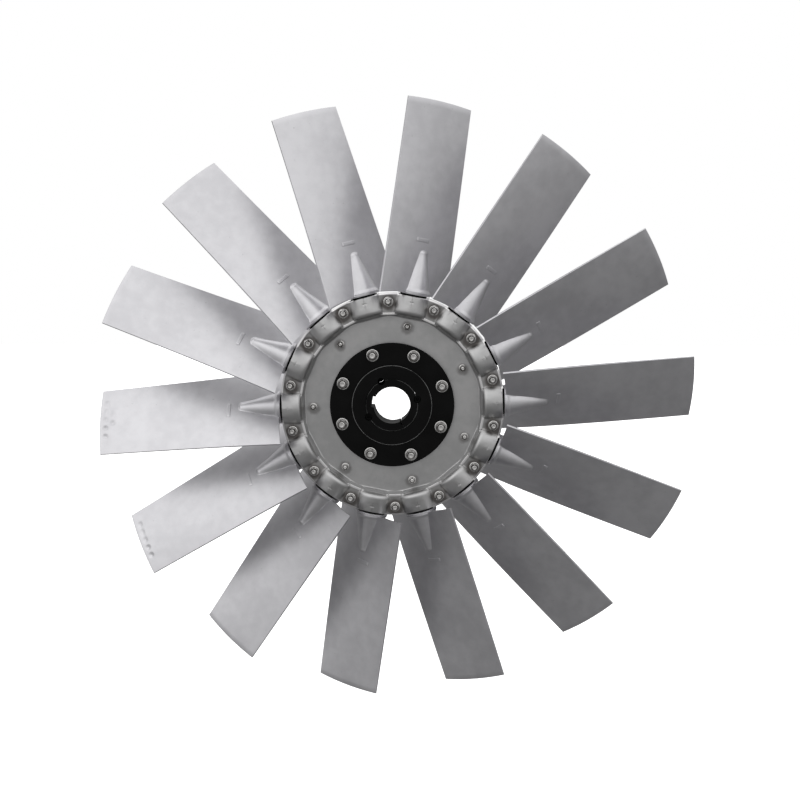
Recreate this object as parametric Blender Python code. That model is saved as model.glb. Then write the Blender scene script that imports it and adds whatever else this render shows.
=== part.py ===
"""Axial fan impeller: fourteen twisted blades whose round shanks are clamped between two hub halves.

The fan axis lies along world Y, and the side with the nuts and the drive flange faces -Y.
Everything is parented to one empty, whose local frame is x right, y up and z towards the front.
A blade's own frame is x outwards along its shank, y anticlockwise round the fan, z to the front.
"""

import math

import bmesh
import bpy
from mathutils import Matrix, Vector

# Layout round the fan axis, seen from the front, anticlockwise from the right.
BLADE_COUNT = 14
BLADE_STEP = 2 * math.pi / BLADE_COUNT
FIRST_BLADE_ANGLE = math.radians(79.08)
FIRST_CLAMP_ANGLE = FIRST_BLADE_ANGLE + BLADE_STEP / 2
FLANGE_BOLT_COUNT = 8
FIRST_FLANGE_BOLT_ANGLE = math.radians(111.17)
KEYWAY_ANGLE = math.radians(170)
BUSH_SCREW_ANGLES = [math.radians(angle) for angle in (13.6, 207)]
BUSH_JACKING_HOLE_ANGLE = math.radians(114)
BUSH_SPLIT_ANGLE = math.radians(297)

# Gap between faces that touch on the real object.
SEAT = 0.0003

# Blade: a helical sheet of constant lead with a thin section.
TIP_RADIUS = 0.4882
ROOT_RADIUS = 0.1860
LEAD_PER_RADIAN = 0.2266
FRONT_EDGE_ROOT = 0.0523
FRONT_EDGE_TIP = 0.0669
BACK_EDGE_ROOT = -0.0543
BACK_EDGE_TIP = -0.0332
ROOT_THICKNESS = 0.0080
TIP_THICKNESS = 0.0046
EDGE_THICKNESS = 0.0032
CAMBER = 0.010
SPAN_STEPS = 4
CHORD_STEPS = 4

# Blade root: collar outside the hub, shank and foot inside it, fairing on both faces.
COLLAR_RADIUS = 0.0270
COLLAR_INNER_X = 0.1830
COLLAR_OUTER_X = 0.1883
SHANK_RADIUS = 0.0180
FOOT_RADIUS = 0.0240
FOOT_INNER_X = 0.1490
FOOT_OUTER_X = 0.1600
FAIRING_RADIUS = 0.0258
FAIRING_TOP_RADIUS = 0.0095
FAIRING_TOP_X = 0.2490
FAIRING_END_RADIUS = 0.0045
FAIRING_END_X = 0.2545
ROOT_SIDES = 12
SOCKET_SIDES = 12
SOCKET_CLEARANCE = 0.0004

# Hub: web, ring of bolt pads and one barrel round each shank.
HUB_FLAT_X = 0.1800
HUB_FLAT_HALF_WIDTH = 0.0270
PAD_RADIUS = 0.1830
PAD_HEIGHT = 0.0180
PAD_CHAMFER = 0.0018
PAD_INNER_RADIUS = 0.1545
WEB_OUTER_RADIUS = 0.1500
WEB_HEIGHT = 0.0060
WEB_BORE_RADIUS = 0.0665
BARREL_RADIUS = 0.0300
BARREL_OUTER_RADIUS = 0.0275
BARREL_INNER_X = 0.1440
BARREL_ROUNDING = 0.0080
BARREL_SIDES = 16
HUB_SIDES = 3 * BLADE_COUNT

# Drive flange and taper bush.
FLANGE_RADIUS = 0.1018
FLANGE_FRONT_Z = 0.0145
BOSS_RADIUS = 0.0655
BOSS_FRONT_Z = 0.0175
BOSS_BACK_Z = -0.0300
BUSH_LARGE_RADIUS = 0.04275
BUSH_LENGTH = 0.0450
BUSH_HALF_TAPER = math.radians(4)
BUSH_FRONT_Z = 0.0165
BUSH_BORE_RADIUS = 0.0300
KEYWAY_WIDTH = 0.0180
KEYWAY_DEPTH = 0.0044
BUSH_SPLIT_WIDTH = 0.0020
BUSH_SCREW_RADIUS = 0.0060
BUSH_SCREW_LENGTH = 0.0160
BUSH_SCREW_RECESS = 0.0010
BUSH_HOLE_DEPTH = 0.0190
FLANGE_SIDES = 32

# Bolts: circle radius, thread radius, nut and washer.
CLAMP_CIRCLE = 0.1685
CLAMP_BOLT = {"thread": 0.0040, "nut": 0.0075, "nut_height": 0.0065, "head_height": 0.0053,
              "washer": 0.0080, "washer_height": 0.0016, "stub": 0.0028}
FLANGE_CIRCLE = 0.0874
FLANGE_BOLT = {"thread": 0.0050, "nut": 0.0092, "nut_height": 0.0080, "head_height": 0.0064,
               "washer": 0.0103, "washer_height": 0.0020, "stub": 0.0026}
BOLT_SIDES = 6
WASHER_SIDES = 12

# Cutters reach this far past what they cut.
CUTTER_EXTRA = 0.0100

# Neighbouring faces that lie this flat become one face, and edges sharper than this stay sharp.
FLAT_WITHIN = math.radians(0.05)
SHARP_ANGLE = math.radians(35)
MERGE_WITHIN = 1e-6


def make_material(name, colour, roughness, metallic):
    """Principled material with one flat finish."""
    material = bpy.data.materials.new(name)
    material.use_nodes = True
    shader = material.node_tree.nodes["Principled BSDF"]
    shader.inputs["Base Color"].default_value = (*colour, 1)
    shader.inputs["Roughness"].default_value = roughness
    shader.inputs["Metallic"].default_value = metallic
    return material


def add_object(name, mesh, parent, material=None, angle=0.0):
    """Object turned by angle round the fan axis, in the frame of the empty."""
    piece = bpy.data.objects.new(name, mesh)
    bpy.context.scene.collection.objects.link(piece)
    piece.parent = parent
    piece.rotation_euler.z = angle
    if material and not mesh.materials:
        mesh.materials.append(material)
    return piece


def mesh_from(bm, name):
    """Mesh with its faces pointing outwards."""
    bmesh.ops.recalc_face_normals(bm, faces=bm.faces)
    mesh = bpy.data.meshes.new(name)
    bm.to_mesh(mesh)
    bm.free()
    return mesh


def add_turned(bm, profile, sides, ring=False, place=Matrix.Identity(4), start=0.0):
    """Turns (radius, height) points round z. A ring's profile is closed, any other has flat ends."""
    fresh = bmesh.new()
    points = [fresh.verts.new((radius, 0, height)) for radius, height in profile]
    edges = [fresh.edges.new(pair) for pair in zip(points, points[1:])]
    if ring:
        edges.append(fresh.edges.new((points[-1], points[0])))
    bmesh.ops.spin(fresh, geom=points + edges, cent=(0, 0, 0), axis=(0, 0, 1),
                   angle=2 * math.pi, steps=sides, use_merge=True)
    bmesh.ops.remove_doubles(fresh, verts=fresh.verts, dist=MERGE_WITHIN)
    bmesh.ops.holes_fill(fresh, edges=fresh.edges, sides=0)
    fresh.transform(place @ Matrix.Rotation(start, 4, "Z"))
    bmesh.ops.recalc_face_normals(fresh, faces=fresh.faces)
    part = bpy.data.meshes.new("turned")
    fresh.to_mesh(part)
    fresh.free()
    bm.from_mesh(part)
    bpy.data.meshes.remove(part)


def add_box(bm, low, high, place=Matrix.Identity(4)):
    """Box between two corners."""
    size = Vector(high) - Vector(low)
    centre = (Vector(high) + Vector(low)) / 2
    bmesh.ops.create_cube(bm, size=1, matrix=place @ Matrix.Translation(centre) @ Matrix.Diagonal((*size, 1)))


def boolean(piece, operation, bm, name):
    """Boolean of the piece with the shape in bm, which stays as a hidden wire helper."""
    tool = add_object(name, mesh_from(bm, name), piece.parent)
    tool.hide_render = True
    tool.display_type = "WIRE"
    modifier = piece.modifiers.new(name, "BOOLEAN")
    modifier.operation = operation
    modifier.solver = "EXACT"
    modifier.object = tool


def baked_mesh(piece, material):
    """Mesh of the piece with its modifiers applied, smooth except at its corners."""
    bpy.context.view_layer.update()
    graph = bpy.context.evaluated_depsgraph_get()
    mesh = bpy.data.meshes.new_from_object(piece.evaluated_get(graph))
    mesh.name = piece.name
    bm = bmesh.new()
    bm.from_mesh(mesh)
    bmesh.ops.dissolve_limit(bm, angle_limit=FLAT_WITHIN, verts=bm.verts, edges=bm.edges)
    bm.to_mesh(mesh)
    bm.free()
    mesh.materials.clear()
    mesh.materials.append(material)
    mesh.shade_smooth()
    mesh.set_sharp_from_angle(angle=SHARP_ANGLE)
    return mesh


def along_x():
    """Turns a shape about z into one about x."""
    return Matrix.Rotation(math.pi / 2, 4, "Y")


def blade_angles():
    """Blade axes, from the top one clockwise."""
    return [FIRST_BLADE_ANGLE - BLADE_STEP * index for index in range(BLADE_COUNT)]


def clamp_angles():
    """Clamp bolts, midway between the blades."""
    return [FIRST_CLAMP_ANGLE - BLADE_STEP * index for index in range(BLADE_COUNT)]


def flange_bolt_angles():
    step = 2 * math.pi / FLANGE_BOLT_COUNT
    return [FIRST_FLANGE_BOLT_ANGLE - step * index for index in range(FLANGE_BOLT_COUNT)]


def polar(radius, angle, height=0.0):
    """Place at a radius and an angle round the fan axis."""
    return Matrix.Rotation(angle, 4, "Z") @ Matrix.Translation((radius, 0, height))


def mix(start, end, share):
    return start + (end - start) * share


def blade_point(span, chord, side):
    """Point of the wing: span 0 root to 1 tip, chord 0 back edge to 1 front edge, side +1 or -1."""
    radius = mix(ROOT_RADIUS, TIP_RADIUS, span)
    back = mix(BACK_EDGE_ROOT, BACK_EDGE_TIP, span)
    front = mix(FRONT_EDGE_ROOT, FRONT_EDGE_TIP, span)
    along = mix(back, front, chord)
    pitch = math.atan2(LEAD_PER_RADIAN, radius)
    bulge = 4 * chord * (1 - chord)
    width = (front - back) / math.cos(pitch)
    thickness = mix(EDGE_THICKNESS, mix(ROOT_THICKNESS, TIP_THICKNESS, span), bulge)
    lift = side * thickness / 2 + CAMBER * width * bulge
    return Vector((
        math.sqrt(radius**2 - along**2),
        along - lift * math.sin(pitch),
        along * math.tan(pitch) + lift * math.cos(pitch),
    ))


def wing(bm):
    """Closed shell of the wing, two skins of points joined round their border."""
    for side in (-1, 1):
        rows = [
            [bm.verts.new(blade_point(i / SPAN_STEPS, j / CHORD_STEPS, side)) for j in range(CHORD_STEPS + 1)]
            for i in range(SPAN_STEPS + 1)
        ]
        for low, high in zip(rows, rows[1:]):
            for j in range(CHORD_STEPS):
                bm.faces.new((low[j], low[j + 1], high[j + 1], high[j]))
    bmesh.ops.bridge_loops(bm, edges=[edge for edge in bm.edges if edge.is_boundary])


def blade_root(bm):
    """Collar, shank and foot in one turned piece."""
    profile = [
        (FOOT_RADIUS, FOOT_INNER_X),
        (FOOT_RADIUS, FOOT_OUTER_X),
        (SHANK_RADIUS, FOOT_OUTER_X),
        (SHANK_RADIUS, COLLAR_INNER_X),
        (COLLAR_RADIUS, COLLAR_INNER_X),
        (COLLAR_RADIUS, COLLAR_OUTER_X),
    ]
    add_turned(bm, profile, ROOT_SIDES, place=along_x())


def fairing(bm):
    """Cone with a blunt end, from the collar out along the blade, half of it standing out of each face."""
    inside_collar = mix(COLLAR_INNER_X, COLLAR_OUTER_X, 0.5)
    profile = [
        (FAIRING_RADIUS, inside_collar),
        (FAIRING_TOP_RADIUS, FAIRING_TOP_X),
        (FAIRING_END_RADIUS, FAIRING_END_X),
    ]
    add_turned(bm, profile, ROOT_SIDES, place=along_x(), start=math.pi / ROOT_SIDES)


def make_blades(parent, material):
    bm = bmesh.new()
    wing(bm)
    master = add_object("blade_master", mesh_from(bm, "blade_master"), parent)
    for shape in (blade_root, fairing):
        bm = bmesh.new()
        shape(bm)
        boolean(master, "UNION", bm, shape.__name__)
    mesh = baked_mesh(master, material)
    master.hide_render = True
    master.display_type = "WIRE"
    for index, angle in enumerate(blade_angles()):
        add_object(f"blade_{index + 1:02d}", mesh, parent, material, angle)


def hub_ring(bm):
    """Web and ring of bolt pads, the same on both sides of the split plane."""
    front = [
        (WEB_BORE_RADIUS, WEB_HEIGHT),
        (WEB_OUTER_RADIUS, WEB_HEIGHT),
        (PAD_INNER_RADIUS, PAD_HEIGHT),
        (PAD_RADIUS - PAD_CHAMFER, PAD_HEIGHT),
        (PAD_RADIUS, PAD_HEIGHT - PAD_CHAMFER),
    ]
    back = [(radius, -height) for radius, height in reversed(front)]
    add_turned(bm, front + back, HUB_SIDES, ring=True, start=FIRST_BLADE_ANGLE)


def barrels(bm):
    """Round housing of each shank, with a rounded inner end and a slight taper outwards."""
    profile = [(BARREL_RADIUS - BARREL_ROUNDING, BARREL_INNER_X)]
    for step in (1, 2):
        turn = math.radians(45 * step)
        profile.append((
            BARREL_RADIUS - BARREL_ROUNDING * (1 - math.sin(turn)),
            BARREL_INNER_X + BARREL_ROUNDING * (1 - math.cos(turn)),
        ))
    profile.append((BARREL_OUTER_RADIUS, HUB_FLAT_X - SEAT))
    for angle in blade_angles():
        add_turned(bm, profile, BARREL_SIDES, place=Matrix.Rotation(angle, 4, "Z") @ along_x())


def hub_flats(bm):
    """Flat that faces each collar."""
    low = (HUB_FLAT_X, -HUB_FLAT_HALF_WIDTH, -BARREL_RADIUS)
    high = (HUB_FLAT_X + BARREL_RADIUS, HUB_FLAT_HALF_WIDTH, BARREL_RADIUS)
    for angle in blade_angles():
        add_box(bm, low, high, Matrix.Rotation(angle, 4, "Z"))


def sockets(bm):
    """Room for each shank and foot. A socket's flats lie outside the corners of what turns in it."""
    outward = 1 / math.cos(math.pi / SOCKET_SIDES)
    wide = (FOOT_RADIUS + SOCKET_CLEARANCE) * outward
    narrow = (SHANK_RADIUS + SOCKET_CLEARANCE) * outward
    profile = [
        (wide, FOOT_INNER_X - SOCKET_CLEARANCE),
        (wide, FOOT_OUTER_X + SOCKET_CLEARANCE),
        (narrow, FOOT_OUTER_X + SOCKET_CLEARANCE),
        (narrow, HUB_FLAT_X + BARREL_RADIUS),
    ]
    for angle in blade_angles():
        add_turned(bm, profile, SOCKET_SIDES, place=Matrix.Rotation(angle, 4, "Z") @ along_x())


def bolt_holes(bm):
    """Clamp bolts and flange bolts pass through both halves."""
    reach = 2 * BARREL_RADIUS
    rows = [(CLAMP_CIRCLE, CLAMP_BOLT, clamp_angles()), (FLANGE_CIRCLE, FLANGE_BOLT, flange_bolt_angles())]
    for circle, bolt, angles in rows:
        radius = bolt["thread"] + SEAT / math.cos(math.pi / BOLT_SIDES)
        for angle in angles:
            add_turned(bm, [(radius, -reach), (radius, reach)], BOLT_SIDES, place=polar(circle, angle))


def make_hub(parent, material):
    bm = bmesh.new()
    hub_ring(bm)
    whole = add_object("hub_whole", mesh_from(bm, "hub_whole"), parent)
    whole.hide_render = True
    whole.display_type = "WIRE"
    steps = [(hub_flats, "DIFFERENCE"), (barrels, "UNION"), (sockets, "DIFFERENCE"), (bolt_holes, "DIFFERENCE")]
    for shape, operation in steps:
        bm = bmesh.new()
        shape(bm)
        boolean(whole, operation, bm, shape.__name__)
    reach = PAD_RADIUS + CUTTER_EXTRA
    for name, side in (("hub_front_half", 1), ("hub_back_half", -1)):
        half = add_object(name, baked_mesh(whole, material), parent, material)
        bm = bmesh.new()
        bottom, top = sorted((side * SEAT / 2, -side * reach))
        add_box(bm, (-reach, -reach, bottom), (reach, reach, top))
        boolean(half, "DIFFERENCE", bm, name + "_split")
        half.data = baked_mesh(half, material)
        half.modifiers.clear()


def bush_radius(height):
    """Taper of the bush, widest at its front face."""
    return BUSH_LARGE_RADIUS - (BUSH_FRONT_Z - height) * math.tan(BUSH_HALF_TAPER)


def bush_holes(bm, radius):
    """Half of each hole lies in the bush and half in the flange."""
    for angle in (*BUSH_SCREW_ANGLES, BUSH_JACKING_HOLE_ANGLE):
        profile = [(radius, BUSH_FRONT_Z - BUSH_HOLE_DEPTH), (radius, BOSS_FRONT_Z + CUTTER_EXTRA)]
        add_turned(bm, profile, 2 * BOLT_SIDES, place=polar(BUSH_LARGE_RADIUS, angle))


def make_drive_flange(parent, material):
    plate_back = WEB_HEIGHT + SEAT
    barrel = WEB_BORE_RADIUS - 2 * SEAT
    profile = [
        (barrel, BOSS_BACK_Z),
        (barrel, plate_back),
        (FLANGE_RADIUS, plate_back),
        (FLANGE_RADIUS, FLANGE_FRONT_Z),
        (BOSS_RADIUS, FLANGE_FRONT_Z),
        (BOSS_RADIUS, BOSS_FRONT_Z),
        (bush_radius(BOSS_FRONT_Z) + SEAT, BOSS_FRONT_Z),
        (bush_radius(BOSS_BACK_Z) + SEAT, BOSS_BACK_Z),
    ]
    bm = bmesh.new()
    add_turned(bm, profile, FLANGE_SIDES, ring=True)
    flange = add_object("drive_flange", mesh_from(bm, "drive_flange"), parent, material)
    bm = bmesh.new()
    reach = 2 * BARREL_RADIUS
    radius = FLANGE_BOLT["thread"] + SEAT / math.cos(math.pi / BOLT_SIDES)
    for angle in flange_bolt_angles():
        add_turned(bm, [(radius, -reach), (radius, reach)], BOLT_SIDES, place=polar(FLANGE_CIRCLE, angle))
    bush_holes(bm, BUSH_SCREW_RADIUS + SEAT)
    boolean(flange, "DIFFERENCE", bm, "flange_holes")


def make_taper_bush(parent, material):
    back = BUSH_FRONT_Z - BUSH_LENGTH
    profile = [
        (BUSH_BORE_RADIUS, back),
        (bush_radius(back), back),
        (BUSH_LARGE_RADIUS, BUSH_FRONT_Z),
        (BUSH_BORE_RADIUS, BUSH_FRONT_Z),
    ]
    bm = bmesh.new()
    add_turned(bm, profile, FLANGE_SIDES, ring=True)
    bush = add_object("taper_bush", mesh_from(bm, "taper_bush"), parent, material)
    bm = bmesh.new()
    reach = 2 * BARREL_RADIUS
    half = KEYWAY_WIDTH / 2
    add_box(bm, (BUSH_BORE_RADIUS / 2, -half, -reach), (BUSH_BORE_RADIUS + KEYWAY_DEPTH, half, reach),
            Matrix.Rotation(KEYWAY_ANGLE, 4, "Z"))
    boolean(bush, "DIFFERENCE", bm, "keyway")
    bm = bmesh.new()
    half = BUSH_SPLIT_WIDTH / 2
    add_box(bm, (BUSH_BORE_RADIUS / 2, -half, -reach), (2 * BUSH_BORE_RADIUS, half, reach),
            Matrix.Rotation(BUSH_SPLIT_ANGLE, 4, "Z"))
    boolean(bush, "DIFFERENCE", bm, "bush_split")
    bm = bmesh.new()
    bush_holes(bm, BUSH_SCREW_RADIUS + SEAT)
    boolean(bush, "DIFFERENCE", bm, "bush_screw_holes")


def make_bush_screws(parent, material):
    top = BUSH_FRONT_Z - BUSH_SCREW_RECESS
    bm = bmesh.new()
    profile = [(BUSH_SCREW_RADIUS, top - BUSH_SCREW_LENGTH), (BUSH_SCREW_RADIUS, top)]
    add_turned(bm, profile, 2 * BOLT_SIDES)
    mesh = mesh_from(bm, "bush_screw")
    for index, angle in enumerate(BUSH_SCREW_ANGLES):
        screw = add_object(f"bush_screw_{index + 1}", mesh, parent, material, angle)
        screw.location = polar(BUSH_LARGE_RADIUS, angle).translation


def bolt_mesh(bolt, front, back, material):
    """Bolt with its head behind, washers under head and nut, and a stub past the nut."""
    front += SEAT
    back -= SEAT
    lap = bolt["washer_height"] / 2
    nut_top = front + bolt["washer_height"] + bolt["nut_height"]
    head_top = back - bolt["washer_height"] - bolt["head_height"]
    bm = bmesh.new()
    add_turned(bm, [(bolt["thread"], back - lap), (bolt["thread"], nut_top + bolt["stub"])], BOLT_SIDES)
    master = add_object("bolt_master", mesh_from(bm, "bolt_master"), None)
    master.hide_render = True
    master.display_type = "WIRE"
    shapes = [
        (bolt["washer"], WASHER_SIDES, front, front + bolt["washer_height"]),
        (bolt["nut"], BOLT_SIDES, front + lap, nut_top),
        (bolt["washer"], WASHER_SIDES, back - bolt["washer_height"], back),
        (bolt["nut"], BOLT_SIDES, head_top, back - lap),
    ]
    for radius, sides, low, high in shapes:
        bm = bmesh.new()
        add_turned(bm, [(radius, low), (radius, high)], sides)
        boolean(master, "UNION", bm, "bolt_form")
    return baked_mesh(master, material)


def make_bolts(parent, material):
    mesh = bolt_mesh(CLAMP_BOLT, PAD_HEIGHT, -PAD_HEIGHT, material)
    for index, angle in enumerate(clamp_angles()):
        bolt = add_object(f"clamp_bolt_{index + 1:02d}", mesh, parent, material, angle)
        bolt.location = polar(CLAMP_CIRCLE, angle).translation
    mesh = bolt_mesh(FLANGE_BOLT, FLANGE_FRONT_Z, -WEB_HEIGHT, material)
    for index, angle in enumerate(flange_bolt_angles()):
        bolt = add_object(f"flange_bolt_{index + 1}", mesh, parent, material, angle)
        bolt.location = polar(FLANGE_CIRCLE, angle).translation


def main():
    for old in list(bpy.data.objects):
        bpy.data.objects.remove(old)
    fan_frame = add_object("fan_frame", None, None)
    fan_frame.rotation_euler.x = math.pi / 2
    cast = make_material("cast_aluminium_blade", (0.62, 0.62, 0.63), 0.38, 1.0)
    hub_metal = make_material("cast_aluminium_hub", (0.44, 0.43, 0.42), 0.5, 1.0)
    black = make_material("blackened_steel", (0.012, 0.012, 0.013), 0.35, 0.6)
    zinc = make_material("zinc_plated_steel", (0.66, 0.65, 0.63), 0.3, 1.0)
    make_blades(fan_frame, cast)
    make_hub(fan_frame, hub_metal)
    make_drive_flange(fan_frame, black)
    make_taper_bush(fan_frame, black)
    make_bush_screws(fan_frame, black)
    make_bolts(fan_frame, zinc)


main()
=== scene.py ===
# %% [markdown]
# # Axial fan impeller
#
# The rotor of an industrial fan: fourteen twisted aluminium blades, whose round shanks sit in a cast hub of
# two halves, with a black drive flange and a taper bush in the middle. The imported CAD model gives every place
# and size. This lesson gives each piece its finer shape and its finish, one step at a time.
#
# All shapes here are worked out with numpy as grids of points: each one is a formula of two parameters, so a
# whole skin is computed at once and its size can be checked before Blender sees it.

# %% Load the fixed frame
import math

import bmesh
import bpy
import numpy as np
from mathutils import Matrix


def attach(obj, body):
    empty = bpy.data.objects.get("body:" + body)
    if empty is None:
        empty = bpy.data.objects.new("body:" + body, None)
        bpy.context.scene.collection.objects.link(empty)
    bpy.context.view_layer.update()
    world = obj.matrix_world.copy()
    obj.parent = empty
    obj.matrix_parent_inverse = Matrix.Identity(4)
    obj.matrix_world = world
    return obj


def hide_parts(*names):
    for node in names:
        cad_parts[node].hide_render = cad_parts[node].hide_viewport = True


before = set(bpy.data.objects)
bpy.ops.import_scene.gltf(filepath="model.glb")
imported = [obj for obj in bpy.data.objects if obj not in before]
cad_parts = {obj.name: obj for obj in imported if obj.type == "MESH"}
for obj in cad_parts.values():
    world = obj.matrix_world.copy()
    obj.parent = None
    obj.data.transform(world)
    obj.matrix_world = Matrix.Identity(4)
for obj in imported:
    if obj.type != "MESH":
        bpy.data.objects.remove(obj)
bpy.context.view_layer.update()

# %% [markdown]
# ## Frames and places
#
# A fan is easiest to draw in its own frame: x to the right, y up and z along the axis towards the viewer. The
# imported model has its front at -Y, so a fan point (x, y, z) is the model's point (x, -z, y). A blade has a frame
# of its own as well: x outwards along its shank, y anticlockwise and z to the front.

# %% Frames, angles and small helpers
MM = 0.001
BLADES = 14
STEP = 2 * math.pi / BLADES
BLADE_ANGLES = [math.radians(79.08) - STEP * k for k in range(BLADES)]
CLAMP_ANGLES = [angle + STEP / 2 for angle in BLADE_ANGLES]
FLANGE_BOLT_ANGLES = [math.radians(111.17 - 45 * k) for k in range(8)]


def mix(start, end, share):
    """Straight line from start to end."""
    return start + (end - start) * share


def smooth(value, low, high):
    """0 below low, 1 above high, and an S-shaped rise between them."""
    t = np.clip((value - low) / (high - low), 0, 1)
    return t * t * (3 - 2 * t)


def fillet_max(a, b, width):
    """The larger of two heights, with a rounded inner corner where they lie closer than width."""
    near = np.maximum(width - np.abs(a - b), 0) / width
    return np.maximum(a, b) + near**2 * width / 4


def turned_round_axis(points, angle):
    """Fan points turned anticlockwise about the fan axis."""
    x, y, z = np.moveaxis(points, -1, 0)
    c, s = math.cos(angle), math.sin(angle)
    return np.stack([c * x - s * y, s * x + c * y, z], -1)


def to_model(points):
    """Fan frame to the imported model's frame: (x, y, z) becomes (x, -z, y)."""
    x, y, z = np.moveaxis(points, -1, 0)
    return np.stack([x, -z, y], -1)


# %% [markdown]
# ## From grids to meshes
#
# Every piece is one or more closed skins. A skin is a list of rings of points: neighbouring rings are joined by
# four-sided faces, and each end is closed, either by a fan of triangles round a centre point or by a strip that
# joins the two sides of a thin section. `foreach_set` hands the arrays to Blender in one go.

# %% Skins and pieces
def ring_faces(rings, around, wrap=True):
    """Faces between neighbouring rings, numbered ring by ring."""
    i, j = np.meshgrid(np.arange(rings - 1), np.arange(around if wrap else around - 1), indexing="ij")
    k = (j + 1) % around
    return np.stack([i * around + j, i * around + k, (i + 1) * around + k, (i + 1) * around + j], -1).reshape(-1, 4)


def closed_tube(rings):
    """Skin through rings[i, j], each end closed by triangles round its middle."""
    count, around = rings.shape[:2]
    points = np.concatenate([rings.reshape(-1, 3), rings[:1].mean(1), rings[-1:].mean(1)])
    j = np.arange(around)
    k = (j + 1) % around
    ends = [(count * around, 0), (count * around + 1, (count - 1) * around)]
    caps = [np.stack([np.full(around, middle), first + j, first + k], -1) for middle, first in ends]
    return points, [ring_faces(count, around), *caps]


def closed_hoop(rings):
    """Skin through rings[i, j] whose last ring joins the first, as on a turned ring with a bore."""
    count, around = rings.shape[:2]
    faces = ring_faces(count + 1, around) % (count * around)
    return rings.reshape(-1, 3), [faces]


def add_piece(name, skins, material, body, replaced=None, sharp=32, marks=None):
    """Mesh object made of closed skins, faces outwards, smooth except at edges sharper than the given angle.

    Marks are one number for each point, which the finish reads as the attribute "insert".
    """
    points, corners, sizes, first = [], [], [], 0
    for skin, face_sets in skins:
        points.append(to_model(skin))
        for faces in face_sets:
            corners.append((faces + first).ravel())
            sizes.append(np.full(len(faces), faces.shape[1]))
        first += len(skin)
    corners, sizes = np.concatenate(corners), np.concatenate(sizes)
    mesh = bpy.data.meshes.new(name)
    mesh.vertices.add(first)
    mesh.vertices.foreach_set("co", np.concatenate(points).ravel())
    mesh.loops.add(len(corners))
    mesh.loops.foreach_set("vertex_index", corners)
    mesh.polygons.add(len(sizes))
    mesh.polygons.foreach_set("loop_start", np.cumsum(sizes) - sizes)
    mesh.update(calc_edges=True)
    if marks is not None:
        mesh.attributes.new("insert_and_shade", "FLOAT", "POINT").data.foreach_set("value", marks)
    bm = bmesh.new()
    bm.from_mesh(mesh)
    bmesh.ops.recalc_face_normals(bm, faces=bm.faces)
    bm.to_mesh(mesh)
    bm.free()
    mesh.materials.append(material)
    mesh.shade_smooth()
    mesh.set_sharp_from_angle(angle=math.radians(sharp))
    piece = bpy.data.objects.new(name, mesh)
    bpy.context.scene.collection.objects.link(piece)
    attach(piece, body)
    if replaced:
        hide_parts(replaced)
    return piece


def triangles(piece):
    """Number of triangles in a piece's mesh."""
    return sum(len(face.vertices) - 2 for face in piece.data.polygons)


# %% [markdown]
# ## Writing shaders as sums
#
# A shader is arithmetic on the surface: dirt is a mask times a colour, a scratch is a noise cut off at a level.
# The small class below wraps a node's output, so that such sums are written with Python's own operators and
# each operator adds its Math node. All other nodes come from `Paint.node`.

# %% Sockets with operators
class Socket:
    """Output of a shader node. Python's operators on it add Math nodes."""

    def __init__(self, paint, output):
        self.paint, self.output = paint, output

    def maths(self, operation, *values):
        return self.paint.node("ShaderNodeMath", {"operation": operation}, dict(enumerate(values)))

    def other(self, name):
        """Another output of the same node."""
        return Socket(self.paint, self.output.node.outputs[name])

    def __add__(self, other):
        return self.maths("ADD", self, other)

    def __radd__(self, other):
        return self.maths("ADD", other, self)

    def __sub__(self, other):
        return self.maths("SUBTRACT", self, other)

    def __rsub__(self, other):
        return self.maths("SUBTRACT", other, self)

    def __mul__(self, other):
        return self.maths("MULTIPLY", self, other)

    def __rmul__(self, other):
        return self.maths("MULTIPLY", other, self)

    def __truediv__(self, other):
        return self.maths("DIVIDE", self, other)

    def __rtruediv__(self, other):
        return self.maths("DIVIDE", other, self)

    def __pow__(self, other):
        return self.maths("POWER", self, other)


class Paint:
    """Node tree of a material or of the world."""

    def __init__(self, owner):
        owner.use_nodes = True
        self.owner, self.tree = owner, owner.node_tree

    def node(self, kind, settings=None, sockets=None, output=0):
        """Adds a node: its type, its settings, then the values or links of its sockets. Returns one output."""
        made = self.tree.nodes.new(kind)
        for name, value in (settings or {}).items():
            setattr(made, name, value)
        for key, value in (sockets or {}).items():
            self.feed(made.inputs[key], value)
        return Socket(self, made.outputs[output])

    def feed(self, target, value):
        """Links a socket, or sets a plain value."""
        if isinstance(value, Socket):
            self.tree.links.new(value.output, target)
        else:
            target.default_value = value

    def rise(self, value, low, high, start=0.0, end=1.0):
        """S-shaped rise of a value from start at low to end at high."""
        settings = {"interpolation_type": "SMOOTHSTEP"}
        return self.node("ShaderNodeMapRange", settings, {0: value, 1: low, 2: high, 3: start, 4: end})

    def blend(self, share, first, second):
        """Colour from first to second, by a share."""
        settings = {"data_type": "RGBA"}
        return self.node("ShaderNodeMix", settings, {0: share, 6: first, 7: second}, output=2)

    def noise(self, place, scale, detail=2.0, roughness=0.5):
        """Cloudy noise from 0 to 1."""
        return self.node("ShaderNodeTexNoise", None, {"Vector": place, "Scale": scale, "Detail": detail,
                                                      "Roughness": roughness})


def principled(name, **constants):
    """New material with its paint, its shader and the place on the object."""
    material = bpy.data.materials.new(name)
    paint = Paint(material)
    shader = paint.tree.nodes["Principled BSDF"]
    for socket, value in constants.items():
        shader.inputs[socket.replace("_", " ")].default_value = value
    place = paint.node("ShaderNodeTexCoord", None, None, "Object")
    return paint, shader, place


def grey(value, warmth=0.0):
    """Grey with a little warmth, as a colour."""
    return (value * (1 + warmth), value, value * (1 - warmth), 1)


# %% [markdown]
# ## Finish: shot-blasted aluminium of the blades
#
# The blades are cast and then blasted with fine shot, which leaves an even satin grey with a grain of well under
# a millimetre. Large soft clouds come from the casting, and a few darker specks are pores. The metal itself is
# one constant; clouds change its colour and roughness slightly, and the grain is a bump.

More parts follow.
